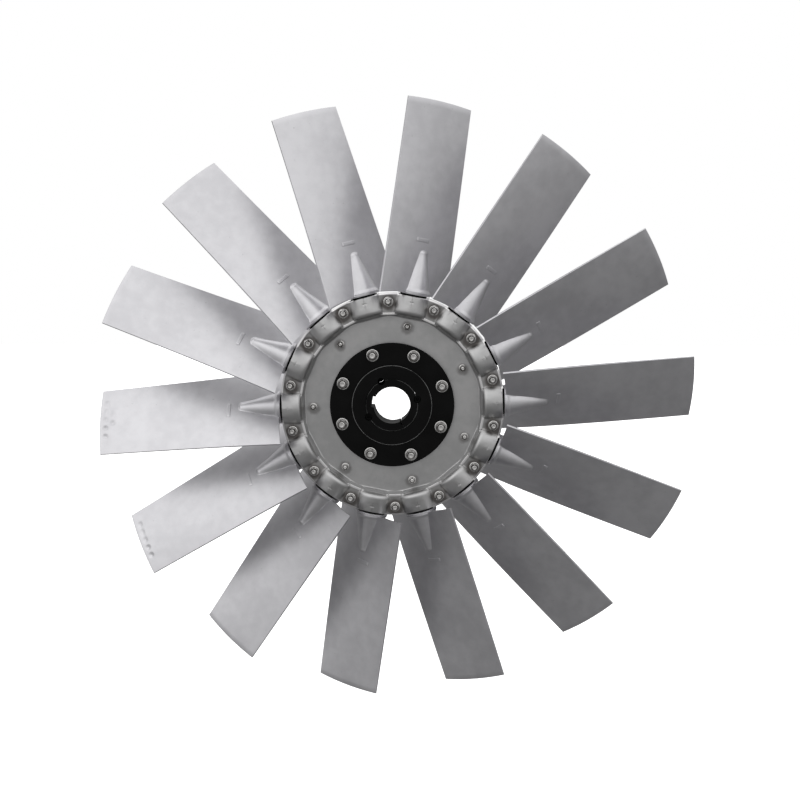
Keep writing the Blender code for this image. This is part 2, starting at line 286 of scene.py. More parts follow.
# %% Blade finish
def blade_finish():
    paint, shader, place = principled("blade_aluminium", Metallic=1.0)
    clouds = paint.noise(place, 9.0, 4.0)
    mottle = paint.noise(place, 60.0, 3.0)
    grain = paint.noise(place, 900.0, 2.0)
    specks = paint.rise(paint.noise(place, 260.0, 1.0), 0.74, 0.82)
    tone = 0.55 * clouds + 0.35 * mottle + 0.10 * grain
    colour = paint.blend(paint.rise(tone, 0.35, 0.65), (0.575, 0.57, 0.59, 1), (0.675, 0.67, 0.69, 1))
    colour = paint.blend(0.30 * specks, colour, (0.25, 0.25, 0.25, 1))
    paint.feed(shader.inputs["Base Color"], colour)
    paint.feed(shader.inputs["Roughness"], 0.34 + 0.10 * clouds + 0.06 * mottle)
    height = 0.6 * grain + 0.4 * mottle - 0.5 * specks
    bump = paint.node("ShaderNodeBump", None, {"Strength": 0.22, "Distance": 0.0004, "Height": height})
    paint.feed(shader.inputs["Normal"], bump)
    return paint.owner


blade_aluminium = blade_finish()
print("finish:", blade_aluminium.name)

# %% [markdown]
# ## Finish: the hub casting
#
# The hub is sand cast, so it is rougher and darker than the blades, and only its outer rim is machined bright.
# The web, which is the floor of the dish, is a little darker than the rest of the casting. Round each bolt, centred
# a little below it, the metal is darkened: painted shade under the nuts, with some dust and oil. The recessed pads
# between the barrels are darkened as painted shade, and the tops of the lip bars are lightened as a painted
# highlight. The mask round the bolts folds the angle round the fan axis to the nearest bolt, so one formula
# darkens the metal round all of them.

# %% Hub finish
def from_bolts(paint, radius, angle, circle, first, step, drop):
    """Distance to the nearest of the bolts on a circle, measured from a point a little below each of them."""
    steps = (angle - first) / step + 100.5
    off = (steps.maths("FRACT", steps) - 0.5) * step
    bolt = angle - off
    outwards = radius * off.maths("COSINE", off) - circle + drop * bolt.maths("SINE", bolt)
    sideways = radius * off.maths("SINE", off) + drop * bolt.maths("COSINE", bolt)
    return (outwards * outwards + sideways * sideways) ** 0.5


def hub_finish():
    paint, shader, place = principled("hub_aluminium", Metallic=1.0)
    x = paint.node("ShaderNodeSeparateXYZ", None, {"Vector": place})
    y, z = x.other("Y"), x.other("Z")
    radius = (x * x + z * z) ** 0.5
    angle = z.maths("ARCTAN2", z, x)
    height = y.maths("ABSOLUTE", y)
    clouds = paint.noise(place, 14.0, 4.0)
    mottle = paint.noise(place, 90.0, 3.0)
    grain = paint.noise(place, 700.0, 2.0)
    clamps = from_bolts(paint, radius, angle, 168.5 * MM, CLAMP_ANGLES[0], STEP, 2.0 * MM)
    webs = from_bolts(paint, radius, angle, 130.0 * MM, BLADE_ANGLES[0], 2 * STEP, 2.0 * MM)
    uneven = 0.010 * (clouds - 0.5) + 0.006 * (mottle - 0.5)
    # A darker ring round each bolt, centred a little below it: painted shade under the nuts, with some dust and oil.
    bolt_shade_and_dirt = 0.80 * paint.rise(clamps + uneven, 0.0165, 0.0095) + 0.45 * paint.rise(webs + uneven, 0.0125, 0.0070)
    rim = paint.rise(radius, 0.1796, 0.1801)
    tone = paint.rise(0.6 * clouds + 0.4 * mottle, 0.35, 0.65)
    outer = paint.rise(radius, 0.1425, 0.1445)
    # The recessed pad faces between the barrels are darkened: painted shade in the recess.
    pads = paint.rise(height, 0.0215, 0.0185) * paint.rise(radius, 0.1510, 0.1530)
    # The tops of the lip bars are lightened almost to white: a painted highlight.
    lip_highlight = paint.rise(height, 0.0190, 0.0197) * paint.rise(height, 0.0207, 0.0204) * paint.rise(radius, 0.1530, 0.1515)
    cast = paint.blend(outer, grey(0.40), grey(0.45))
    colour = paint.blend(0.30 * tone, cast, (0.62, 0.61, 0.61, 1))
    colour = paint.blend(0.35 * pads, colour, (0.10, 0.09, 0.085, 1))
    colour = paint.blend(0.8 * lip_highlight * outer, colour, (0.80, 0.79, 0.79, 1))
    colour = paint.blend(bolt_shade_and_dirt, colour, (0.075, 0.066, 0.060, 1))
    colour = paint.blend(rim, colour, (0.80, 0.79, 0.79, 1))
    paint.feed(shader.inputs["Base Color"], colour)
    paint.feed(shader.inputs["Roughness"], 0.38 + 0.10 * clouds + 0.12 * bolt_shade_and_dirt - 0.10 * rim - 0.04 * outer)
    relief = 0.5 * grain + 0.5 * mottle
    bump = paint.node("ShaderNodeBump", None, {"Strength": 0.25, "Distance": 0.0005, "Height": relief})
    paint.feed(shader.inputs["Normal"], bump)
    return paint.owner


hub_aluminium = hub_finish()
print("finish:", hub_aluminium.name)

# %% [markdown]
# ## Finish: black steel and bright bolts
#
# The flange and the bush are oiled black steel: almost no colour and a dull satin gloss. Thin broken lines of lighter,
# metallic grey along the front edges of boss and bush are a painted highlight. The bolts are zinc plated. Their nuts
# hold a dark ring that grips the thread, and the attribute "insert" says where that ring is. The same attribute also
# darkens the step under the nut's crown, as painted shade, the washer round the foot of each nut, as painted shade
# with some dirt, and the middle of the bolt's cut end.

# %% Steel finishes
BOSS_RADIUS, BUSH_EDGE = 65.5 * MM, 42.4 * MM


def black_finish():
    paint, shader, place = principled("black_steel", Specular_IOR_Level=0.05)
    x = paint.node("ShaderNodeSeparateXYZ", None, {"Vector": place})
    y, z = x.other("Y"), x.other("Z")
    radius = (x * x + z * z) ** 0.5
    clouds = paint.noise(place, 30.0, 3.0)
    fine = paint.noise(place, 600.0, 2.0)
    boss = radius - BOSS_RADIUS + 0.30 * MM
    boss = paint.rise(boss.maths("ABSOLUTE", boss), 0.60 * MM, 0.15 * MM) * paint.rise(y, -0.0165, -0.0172)
    bush = radius - BUSH_EDGE
    bush = paint.rise(bush.maths("ABSOLUTE", bush), 0.60 * MM, 0.15 * MM) * paint.rise(y, -0.0158, -0.0163)
    # Lighter metallic grey in thin broken lines along the front edges of boss and bush: a painted highlight.
    edge_highlight = (boss + 0.7 * bush) * paint.rise(clouds + 0.4 * fine, 0.45, 0.85)
    colour = paint.blend(clouds, grey(0.0012), grey(0.0035))
    paint.feed(shader.inputs["Base Color"], paint.blend(edge_highlight, colour, grey(0.22)))
    paint.feed(shader.inputs["Metallic"], 0.8 * edge_highlight)
    paint.feed(shader.inputs["Roughness"], 0.34 + 0.16 * clouds + 0.05 * fine)
    bump = paint.node("ShaderNodeBump", None, {"Strength": 0.15, "Distance": 0.0002, "Height": fine})
    paint.feed(shader.inputs["Normal"], bump)
    return paint.owner


def zinc_finish():
    paint, shader, place = principled("zinc_steel")
    clouds = paint.noise(place, 120.0, 3.0)
    fine = paint.noise(place, 1500.0, 2.0)
    # This attribute marks the dark gripping ring, and painted shade on the washer and under the crown.
    insert_and_shade = paint.node("ShaderNodeAttribute", {"attribute_name": "insert_and_shade"}, None, "Fac")
    colour = paint.blend(clouds, (0.46, 0.45, 0.44, 1), (0.80, 0.79, 0.775, 1))
    paint.feed(shader.inputs["Base Color"], paint.blend(insert_and_shade, colour, (0.030, 0.026, 0.024, 1)))
    paint.feed(shader.inputs["Metallic"], 1 - 0.9 * insert_and_shade)
    paint.feed(shader.inputs["Roughness"], 0.16 + 0.12 * clouds + 0.35 * insert_and_shade)
    bump = paint.node("ShaderNodeBump", None, {"Strength": 0.15, "Distance": 0.0002, "Height": clouds + 0.3 * fine})
    paint.feed(shader.inputs["Normal"], bump)
    return paint.owner


black_steel = black_finish()
zinc_steel = zinc_finish()
print("finishes:", black_steel.name, zinc_steel.name)

# %% [markdown]
# ## The blade
#
# A fan blade is twisted so that every radius moves forward by the same distance in one turn: a helical sheet of
# constant lead, with a thin cambered section. At the root a cone-shaped fairing runs out of both faces, because
# the sheet is thin and the shank is thick. One grid makes wing and fairing together: each row is a section at
# one radius, and the columns crowd together along the fairing and at the rounded edges.

# %% Sizes of the blade
TIP_RADIUS, ROOT_RADIUS = 488.1 * MM, 186.0 * MM
LEAD_PER_RADIAN = 226.6 * MM
FRONT_EDGE = (52.3 * MM, 66.9 * MM)
BACK_EDGE = (-54.3 * MM, -33.2 * MM)
MIDDLE_THICKNESS = (8.0 * MM, 4.6 * MM)
EDGE_THICKNESS, EDGE_ROUNDING, TIP_ROUNDING = 3.2 * MM, 0.6 * MM, 0.8 * MM
CAMBER = 0.010
FAIRING_FROM, FAIRING_TO, FAIRING_END = 185.65 * MM, 249 * MM, 255.5 * MM
FAIRING_RADIUS = (25.8 * MM, 9.0 * MM)
FAIRING_FILLET, FAIRING_FLARE = 3.0 * MM, 1.4 * MM
COLLAR_OUTER = 188.3 * MM


def blade_rows(fine):
    """Radii of the sections: close together along the fairing and at the tip, wide apart between them."""
    outer = np.arange(456, 486.5, 0.9) if fine else np.arange(456, 486, 7.5)
    spans = [np.arange(186, 194, 1.0), np.arange(194, 249, 2.5), np.arange(249, 257, 0.7), np.arange(257.5, 300, 5.0),
             np.arange(300, 456, 8.0), outer, [487.2, 487.6, 487.9, 488.1]]
    return np.concatenate(spans)[:, None] * MM


def blade_columns(fairing, front, back, steps):
    """Places along the chord: the sine of even angles across the fairing, then out to both edges."""
    across = fairing * np.sin(np.linspace(-math.pi / 2, math.pi / 2, 19))[None, :]
    beside = np.array([0.5, 1.1, 2.0, 3.2, 5.0]) * MM
    edge = np.array([1.4, 0.6, 0.3, 0.15, 0.05, 0.0]) * MM
    shares = np.linspace(0, 1, steps)[None, 1:-1]

    def outwards(end):
        start, stop = fairing + beside[-1], end - edge[0]
        return np.concatenate([fairing + beside[None, :] + 0 * end, mix(start, stop, shares), end - edge[None, :]], 1)

    return np.concatenate([-outwards(-back)[:, ::-1], across, outwards(front)], 1)


def cone_height(radius, chord):
    """Height of a round cone over the plane of its own axis: sqrt(cone^2 - chord^2), with a rounded outer end."""
    progress = np.clip((radius - FAIRING_FROM) / (FAIRING_TO - FAIRING_FROM), 0, 1)
    end = np.clip((radius - FAIRING_TO) / (FAIRING_END - FAIRING_TO), 0, 1)
    flare = FAIRING_FLARE * (1 - smooth(radius, COLLAR_OUTER, COLLAR_OUTER + 5 * MM))
    cone = mix(*FAIRING_RADIUS, progress) * np.sqrt(1 - end**2) + flare
    inside = np.sqrt(np.maximum(cone**2 - chord**2, 0))
    return np.where(radius < FAIRING_END, np.where(inside > 0, inside, 3 * (cone - np.abs(chord))), -1)


def blade_skins(dimples=()):
    """Front and back skin of the wing with its fairing, as points in the blade's frame.

    The camber line is a helical sheet: x = sqrt(r^2 - y^2) and z = y * lead / r, with a parabola of camber. Half
    the thickness goes to each side of it, as a parabola that is rounded off at the edges. The fairing is a cone
    about the shank's axis, and the larger of cone and wing is the surface, with a fillet between them. A dimple
    is a shallow cone taken out of the front skin round a given place.
    """
    radius = blade_rows(fine=len(dimples) > 0)
    span = (radius - ROOT_RADIUS) / (TIP_RADIUS - ROOT_RADIUS)
    pitch = np.arctan2(LEAD_PER_RADIAN, radius)
    front = mix(*FRONT_EDGE, span) / np.cos(pitch)
    back = mix(*BACK_EDGE, span) / np.cos(pitch)
    progress = np.clip((radius - FAIRING_FROM) / (FAIRING_TO - FAIRING_FROM), 0, 1)
    spread = mix(*FAIRING_RADIUS, progress) + 14 * MM * smooth(radius, FAIRING_END, 330 * MM)
    chord = blade_columns(spread, front, back, 50 if len(dimples) else 8)
    share = (chord - back) / (front - back)
    bulge = 4 * share * (1 - share)
    inset = np.minimum(front - chord, chord - back)
    edge = (1 - (1 - np.clip(inset / EDGE_ROUNDING, 0, 1)) ** 4) ** 0.25
    tip = np.sqrt(1 - (1 - np.clip((TIP_RADIUS - radius) / TIP_ROUNDING, 0, 1)) ** 2)
    half = mix(EDGE_THICKNESS, mix(*MIDDLE_THICKNESS, span), bulge) / 2 * edge * np.maximum(tip, 0.35)
    camber = CAMBER * (front - back) * bulge
    cone = cone_height(radius, chord)
    y = chord * np.cos(pitch)
    skins = []
    for side in (1, -1):
        lift = side * fillet_max(half + side * camber, cone, FAIRING_FILLET)
        for place_radius, place_y in (dimples if side > 0 else ()):
            away = np.hypot(radius - place_radius, (y - place_y) / np.cos(pitch))
            lift = lift - DIMPLE_DEPTH * np.clip(1.15 * (1 - away / DIMPLE_RADIUS), 0, 1)
        x = np.sqrt(radius**2 - y**2)
        skins.append(np.stack([x, y - lift * np.sin(pitch), y * LEAD_PER_RADIAN / radius + lift * np.cos(pitch)], -1))
    return skins


def strip_cap(first, columns):
    """Faces between the two sides of a thin section, whose ring starts at the point called first."""
    around = 2 * columns - 2
    j = np.arange(1, columns - 2)
    quads = first + np.stack([j, j + 1, around - j - 1, around - j], -1)
    ends = first + np.array([[0, 1, around - 1], [columns - 2, columns - 1, columns]])
    return [quads, ends]


def closed_wing(front, back):
    """Skin round front and back, which share their edge lines, with a strip across each end."""
    rows, columns = front.shape[:2]
    loop = np.concatenate([front, back[:, -2:0:-1]], 1)
    around = loop.shape[1]
    return loop.reshape(-1, 3), [ring_faces(rows, around), *strip_cap(0, columns),
                                 *strip_cap((rows - 1) * around, columns)]


wing = closed_wing(*blade_skins())
print("wing points:", len(wing[0]), "reach %.1f mm" % (1000 * np.hypot(wing[0][:, 0], wing[0][:, 1]).max()))

# %% [markdown]
# ## Shank, foot and collar
#
# Inside the hub each blade has a round shank with a thicker foot, which the two halves clamp. Just outside the
# hub sits a collar with a scale of fine notches, one for every five degrees, so that the fitter can set all
# blades to one pitch. It is turned round the blade's own axis, and the notches are a wave on its rim.

# %% Collar with its scale
SCALE_STEP = 5
NOTCH_DEPTH = 0.7 * MM
ROOT_PROFILE = np.array([
    # along the shank, radius, share of the notch
    (149.0, 23.0, 0), (150.0, 24.0, 0), (159.4, 24.0, 0), (160.0, 23.4, 0), (160.0, 18.4, 0), (160.6, 18.0, 0),
    (182.4, 18.0, 0), (183.0, 18.6, 0), (183.0, 26.4, 0), (183.6, 27.0, 1), (186.3, 27.0, 1), (186.4, 27.0, 0),
    (187.7, 27.0, 0), (188.3, 26.4, 0),
])


def root_skin():
    """Profile turned round x. Its angles lie close together at every notch on the front half."""
    ticks = np.arange(-90, 91, SCALE_STEP)[:, None]
    angles = np.concatenate([(ticks + [[-0.9, -0.5, 0.5, 0.9, 2.5]]).ravel(), np.arange(97.5, 266, 7.5)])
    angles = np.sort(angles)
    nearest = np.abs((angles + SCALE_STEP / 2) % SCALE_STEP - SCALE_STEP / 2)
    on_scale = (angles > -92) & (angles < 92)
    notch = NOTCH_DEPTH * (nearest < 0.6) * on_scale
    along, radius, share = (column[:, None] for column in ROOT_PROFILE.T)
    distance = radius * MM - share * notch[None, :]
    turn = np.radians(angles)[None, :]
    rings = np.stack([0 * turn + along * MM, -distance * np.sin(turn), distance * np.cos(turn)], -1)
    return closed_tube(rings)


def mark_skin():
    """Low raised bar on the wing's front face, which marks the kind of blade: a rounded box bent to the wing."""
    start, stop, radius, width, height = -4.5 * MM, 14.5 * MM, 271 * MM, 6.2 * MM, 0.9 * MM
    along = np.concatenate([[start, start + 0.3 * MM], np.linspace(start, stop, 9)[1:-1], [stop - 0.3 * MM, stop]])
    along = along[:, None]
    full = np.ones_like(along)
    full[[0, -1]] = 0.75
    turn = np.linspace(0, 2 * math.pi, 24, endpoint=False)[None, :]
    reach = radius + width / 2 * np.sign(np.cos(turn)) * np.abs(np.cos(turn)) ** 0.4 * full
    span = (reach - ROOT_RADIUS) / (TIP_RADIUS - ROOT_RADIUS)
    pitch = np.arctan2(LEAD_PER_RADIAN, reach)
    front, back = mix(*FRONT_EDGE, span), mix(*BACK_EDGE, span)
    share = (along - back) / (front - back)
    bulge = 4 * share * (1 - share)
    lift = CAMBER * (front - back) / np.cos(pitch) * bulge
    lift = lift + mix(EDGE_THICKNESS, mix(*MIDDLE_THICKNESS, span), bulge) / 2
    lift = lift + height * np.sign(np.sin(turn)) * np.abs(np.sin(turn)) ** 0.4 * full
    y = along + 0 * reach
    rings = np.stack([np.sqrt(reach**2 - y**2), y - lift * np.sin(pitch),
                      y * LEAD_PER_RADIAN / reach + lift * np.cos(pitch)], -1)
    return closed_tube(rings)


# %% [markdown]
# ## Balancing, and all fourteen blades
#
# A fan is balanced by drilling shallow dimples near the tips of its heavy side. Two blades have them here, in
# rows of even steps along the tip. They need a finer grid there, so that each dimple is round; the other twelve
# blades share one coarse wing.

# %% Fourteen blades
DIMPLE_DEPTH, DIMPLE_RADIUS, DIMPLE_STEP = 1.5 * MM, 5.5 * MM, 13.0 * MM
OUTER_ROW = (477.5 * MM, -12.5 * MM, 5)
INNER_ROW = (465.5 * MM, 5.5 * MM, 2)
DRILLED = {10: [OUTER_ROW], 11: [OUTER_ROW, INNER_ROW]}


def dimple_places(rows):
    """Places of the dimples. A row is its radius, the place of its first dimple and how many it has."""
    return [(radius, first + DIMPLE_STEP * i) for radius, first, count in rows for i in range(count)]


blades = []
root_parts = [root_skin(), mark_skin()]
for k, angle in enumerate(BLADE_ANGLES):
    rows = DRILLED.get(k + 1, [])
    own_wing = closed_wing(*blade_skins(dimple_places(rows))) if rows else wing
    skins = [(turned_round_axis(points, angle), faces) for points, faces in [own_wing, *root_parts]]
    node = "blade_%02d" % (k + 1)
    blades.append(add_piece("cast_" + node, skins, blade_aluminium, node, node))
print("blades:", len(blades), "triangles each:", triangles(blades[0]), "drilled:", triangles(blades[10]))

# %% [markdown]
# ## Seal rings that also stand in for shade
#
# Between the collar and the hub's flat there is a black line. It is built as a near-black ring of rubber that keeps
# dust out of the clamp, which is a guess, and the ring is also painted shade: it stands in for the dark gap there. It
# is one more turned profile, a flat ring round each shank. It turns with its blade, so it has to stay inside the
# flat, because the pads on both sides reach further out.

# %% Seal rings
def seal_and_gap_shade_finish():
    paint, shader, place = principled("seal_and_gap_shade", Specular_IOR_Level=0.10)
    dust = paint.noise(place, 160.0, 3.0)
    # Near-black: the rubber of the seal, and painted shade in the gap between collar and flat.
    paint.feed(shader.inputs["Base Color"], paint.blend(dust, grey(0.002), grey(0.008)))
    paint.feed(shader.inputs["Roughness"], 0.75 + 0.2 * dust)
    return paint.owner


def gap_ring_skin():
    """Ring round x: the closed profile is a rectangle with cut corners, carried round the shank."""
    profile = np.array([(180.3, 18.3), (180.3, 21.5), (180.7, 22.0), (182.4, 22.0), (182.8, 21.5), (182.8, 18.3)]) * MM
    turn = np.linspace(0, 2 * math.pi, 64, endpoint=False)[None, :]
    along, radius = profile[:, :1], profile[:, 1:]
    return closed_hoop(np.stack([along + 0 * turn, radius * np.cos(turn), radius * np.sin(turn)], -1))


seal_and_gap_shade = seal_and_gap_shade_finish()
ring_points, ring_sides = gap_ring_skin()
for k, angle in enumerate(BLADE_ANGLES):
    skin = (turned_round_axis(ring_points, angle), ring_sides)
    add_piece("shank_seal_and_gap_shade_%02d" % (k + 1), [skin], seal_and_gap_shade, "blade_%02d" % (k + 1))
print("seal rings:", len(BLADE_ANGLES))

# %% [markdown]
# ## The two hub halves
#
# Each half is a shallow dish: a flat web, a ring of pads for the clamp bolts, and half a barrel over each shank.
# The top side is a height above the split plane, the largest of web, pad and barrel with a fillet between them.
# The grid is polar, but it is bent so that its rows run straight across each barrel and its columns run along
# it, because then every edge of the casting lies on grid lines.

# %% Sizes of the hub
HUB_FLAT_X = 179.8 * MM
PAD_RADIUS, PAD_HEIGHT, PAD_CHAMFER = 183.0 * MM, 18.0 * MM, 2.3 * MM
FLAT_HALF_WIDTH = 22.2 * MM
WEB_HEIGHT, WEB_BORE = 6.0 * MM, 66.5 * MM
WALL_FROM, WALL_TO, WALL_FOOT = 145.2 * MM, 147.2 * MM, 1.2 * MM
LIP_RADIUS, LIP_HALF_WIDTH, LIP_HALF_LENGTH, LIP_TOP = 149.2 * MM, 2.1 * MM, 9.5 * MM, 20.2 * MM
BARREL_HALF_WIDTH, BARREL_HEIGHT, BARREL_DROP = 33.0 * MM, 30.0 * MM, 3.4 * MM
BARREL_START, BARREL_FULL = 144.0 * MM, 156.0 * MM
INDEX_START = 163.0 * MM
SPLIT = 0.15 * MM
SHANK_SOCKET, FOOT_SOCKET = 18.8 * MM, 24.8 * MM
ACROSS_BARREL = np.array([0, .3, .7, 1.1, 2.2, 3.4, 5.5, 8, 11, 14, 16.5, 18.3, 18.8, 21, 22.2, 22.7, 24.3, 24.8, 25.6, 26.4,
                          27.2, 28.2, 29.2, 30]) * MM
TOP_ROWS = np.array([66.5, 66.9, 74, 84, 94, 104, 112, 120, 126, 131, 135, 138, 140.5, 141.4, 142.2, 142.9, 143.5,
                     144.02, 144.15, 144.5, 145, 145.6, 146.2, 146.8, 147.4, 148.2, 149, 149.8, 150.6, 151.6, 152.6, 153.8,
                     155.2, 156.6, 158, 160, 162.9, 163.2, 166, 169.3, 169.6, 170, 170.4, 170.7, 173, 175.5, 177.2,
                     177.7, 178.7, 179.3, 179.8]) * MM
UNDER_ROWS = np.array([66.5, 110, 145, 148.5, 148.7, 149.2, 149.7, 150.2, 151, 160.3, 160.5, 179.8]) * MM


def hub_grid(rows):
    """Places (along the barrel, across it, and angle) of the bent polar grid, for one fourteenth of the hub.

    A row at distance x runs straight across the barrel: its radius is sqrt(x^2 + s^2). Near the bore the rows
    turn into circles, and at the rim they do so beyond the flat. Between two barrels the angle goes evenly from
    one to the next.
    """
    x = rows[:, None]
    half = np.concatenate([-ACROSS_BARREL[:0:-1], ACROSS_BARREL])[None, :]
    s = half * np.minimum(1, x / (148 * MM))
    angle = np.arctan2(s, x)
    straight = np.hypot(x, s)
    arc = PAD_RADIUS - (HUB_FLAT_X - x)
    beyond = smooth(np.abs(s), FLAT_HALF_WIDTH, FLAT_HALF_WIDTH + 0.5 * MM) * smooth(x, 170 * MM, 178 * MM)
    straight = mix(straight, arc, beyond)
    weight = smooth(x, 100 * MM, 140 * MM)
    radius = mix(x, straight, weight)
    border = angle[:, -1:]
    shares = np.array([.08, .22, .38, .5, .62, .78, .92])[None, :]
    gap_angle = mix(border, STEP - border, shares)
    gap_radius = radius[:, -1:] + 0 * shares
    return np.concatenate([radius, gap_radius], 1), np.concatenate([angle, gap_angle], 1)


def hub_height(radius, angle):
    """Height of the casting's outside: the largest of web, pads and barrels, filleted.

    A barrel is an ellipse across and drops slightly outwards; its inner end is rounded like a quarter of one.
    Between two barrels a wall rises from the web to the pad with the bolt.
    """
    folded = (angle + STEP / 2) % STEP - STEP / 2
    x, s = radius * np.cos(folded), np.abs(radius * np.sin(folded))
    to_bolt = radius * np.cos(STEP / 2 - np.abs(folded))
    end = np.clip((BARREL_FULL - x) / (BARREL_FULL - BARREL_START), 0, 1)
    out = np.clip((x - BARREL_START) / (HUB_FLAT_X - BARREL_START), 0, 1)
    crest = (BARREL_HEIGHT - BARREL_DROP * out**2) * np.sqrt(1 - end**2.4)
    barrel = crest * np.sqrt(np.maximum(1 - (s / BARREL_HALF_WIDTH) ** 2, 0))
    barrel = barrel - 0.09 * s * smooth(x, INDEX_START - 2 * MM, INDEX_START + 3 * MM) * (1 - smooth(s, 0, 15 * MM))
    pad = mix(WEB_HEIGHT, PAD_HEIGHT, smooth(to_bolt, WALL_FROM, WALL_TO))
    pad = pad + WALL_FOOT * np.clip((x - 142 * MM) / (2 * MM), 0, 1) ** 3 * (1 - smooth(x, 144 * MM, 146 * MM))
    pad = pad - np.maximum(radius - (PAD_RADIUS - PAD_CHAMFER), 0)
    top = fillet_max(pad, barrel, 1.5 * MM)
    line = (1 - smooth(s, 0.2 * MM, 0.7 * MM)) * smooth(x, INDEX_START - 0.1 * MM, INDEX_START + 0.2 * MM)
    tick = (1 - smooth(s, 2.2 * MM, 3.2 * MM)) * (1 - smooth(np.abs(x - 170 * MM), 0.1 * MM, 0.6 * MM))
    return top - 0.5 * MM * np.maximum(line, tick) - 0.6 * MM * smooth(x, 179.2 * MM, HUB_FLAT_X) * (s < 27 * MM)


def hub_underside(radius, angle, top):
    """Split plane with the half-round sockets of shank and foot cut into it.

    At its inner end the foot's socket comes close to the rounded end of the barrel, so there it stops 2 mm below
    the outside. The rows lie close together there, so that the ceiling clears the foot, which turns in it.
    """
    folded = (angle + STEP / 2) % STEP - STEP / 2
    x, s = radius * np.cos(folded), np.abs(radius * np.sin(folded))
    socket = np.where(x > 160.4 * MM, SHANK_SOCKET, np.where(x > 148.6 * MM, FOOT_SOCKET, 0))
    height = np.sqrt(np.maximum(socket**2 - s**2, 0)) + SPLIT
    return np.minimum(height, top - 2 * MM)


def hub_half(side):
    """Closed skin of one half: rows out along the top, then back in along the underside."""
    top_radius, top_angle = hub_grid(TOP_ROWS)
    under_radius, under_angle = hub_grid(UNDER_ROWS[::-1])
    top = hub_height(top_radius, top_angle)
    top[0] -= 0.4 * MM
    under = hub_underside(under_radius, under_angle, hub_height(under_radius, under_angle))
    radius = np.concatenate([top_radius, under_radius])
    angle = np.concatenate([top_angle, under_angle])
    height = np.concatenate([top, under])
    around = BLADE_ANGLES[0] + STEP * np.arange(BLADES)[None, :, None] + angle[:, None, :]
    around = around.reshape(len(radius), -1)
    radius, height = np.tile(radius, (1, BLADES)), np.tile(height, (1, BLADES))
    rings = np.stack([radius * np.cos(around), radius * np.sin(around), side * height], -1)
    return closed_hoop(rings)


def lip_skin(side, angle):
    """Straight bar on a pad's inner edge, from barrel to barrel: a rounded box across the line to the bolt."""
    along = np.linspace(-LIP_HALF_LENGTH, LIP_HALF_LENGTH, 5)[:, None]
    turn = np.linspace(0, 2 * math.pi, 28, endpoint=False)[None, :]
    low = PAD_HEIGHT - 1 * MM
    x = LIP_RADIUS + LIP_HALF_WIDTH * np.sign(np.cos(turn)) * np.abs(np.cos(turn)) ** 0.4 + 0 * along
    z = mix(low, LIP_TOP, 0.5 + 0.5 * np.sign(np.sin(turn)) * np.abs(np.sin(turn)) ** 0.4) + 0 * along
    points, faces = closed_tube(np.stack([x, along + 0 * turn, side * z], -1))
    return turned_round_axis(points, angle), faces


halves = []
for name, node, side in (("front", "hub_front_half", 1), ("back", "hub_back_half", -1)):
    skins = [hub_half(side)] + [lip_skin(side, angle) for angle in CLAMP_ANGLES]
    halves.append(add_piece("cast_hub_" + name, skins, hub_aluminium, "hub", node, 40))
print("hub half triangles:", triangles(halves[0]))

# %% [markdown]
# ## Drive flange and taper bush
#
# Both are turned on a lathe, so each is a profile carried round the fan axis. The bush has a keyway in its bore,
# a slot that lets it close on the shaft, and half-round holes at its outer edge whose other halves are in the
# flange. All of these are changes of the radius with the angle, so the lathe formula still holds.

# %% Lathe with cut-outs
BUSH_LARGE, BUSH_FRONT, FLANGE_BACK = 42.75 * MM, 16.5 * MM, 6.3 * MM
BUSH_TAPER = math.tan(math.radians(4))
BORE_RADIUS = 30.0 * MM
KEYWAY_ANGLE, SLOT_ANGLE = math.radians(170), math.radians(297)
KEYWAY_HALF, KEYWAY_FLOOR = 9.0 * MM, 34.4 * MM
HOLE_RADIUS = 6.0 * MM
HOLE_ANGLES = [math.radians(13.6), math.radians(207), math.radians(114)]


def away(angles, centre):
    """Signed angle from a centre."""
    return (angles - centre + math.pi) % (2 * math.pi) - math.pi


def lathe_angles():
    """Even angles round the axis, with more of them at keyway, slot and holes."""
    even = np.linspace(0, 2 * math.pi, 180, endpoint=False)
    hole = math.asin(HOLE_RADIUS / BUSH_LARGE) * np.sin(np.linspace(-math.pi / 2, math.pi / 2, 17))
    corner, wall = math.atan2(KEYWAY_HALF, KEYWAY_FLOOR), math.asin(KEYWAY_HALF / BORE_RADIUS)
    key = np.concatenate([[-wall, -corner], np.linspace(-corner, corner, 9)[1:-1], [corner, wall]])
    slot = np.radians([-2.0, -1.9, 1.9, 2.0])
    extra = [centre + hole for centre in HOLE_ANGLES] + [KEYWAY_ANGLE + key, SLOT_ANGLE + slot]
    whole = np.unique(np.round(np.concatenate([even, *extra]) % (2 * math.pi), 5))
    return whole[np.diff(np.append(whole, whole[0] + 2 * math.pi)) > 2e-4]


def hole_edge(angles, sign):
    """Distance from the axis to the outer or inner edge of the half-round holes, or nothing between them."""
    edge = np.full_like(angles, BUSH_LARGE - sign * 1.0)
    for centre in HOLE_ANGLES:
        off = away(angles, centre)
        inside = HOLE_RADIUS**2 - (BUSH_LARGE * np.sin(off)) ** 2
        reach = BUSH_LARGE * np.cos(off) + sign * np.sqrt(np.maximum(inside, 0))
        edge = np.where((inside > 0) & (np.abs(off) < 1), reach, edge)
    return edge


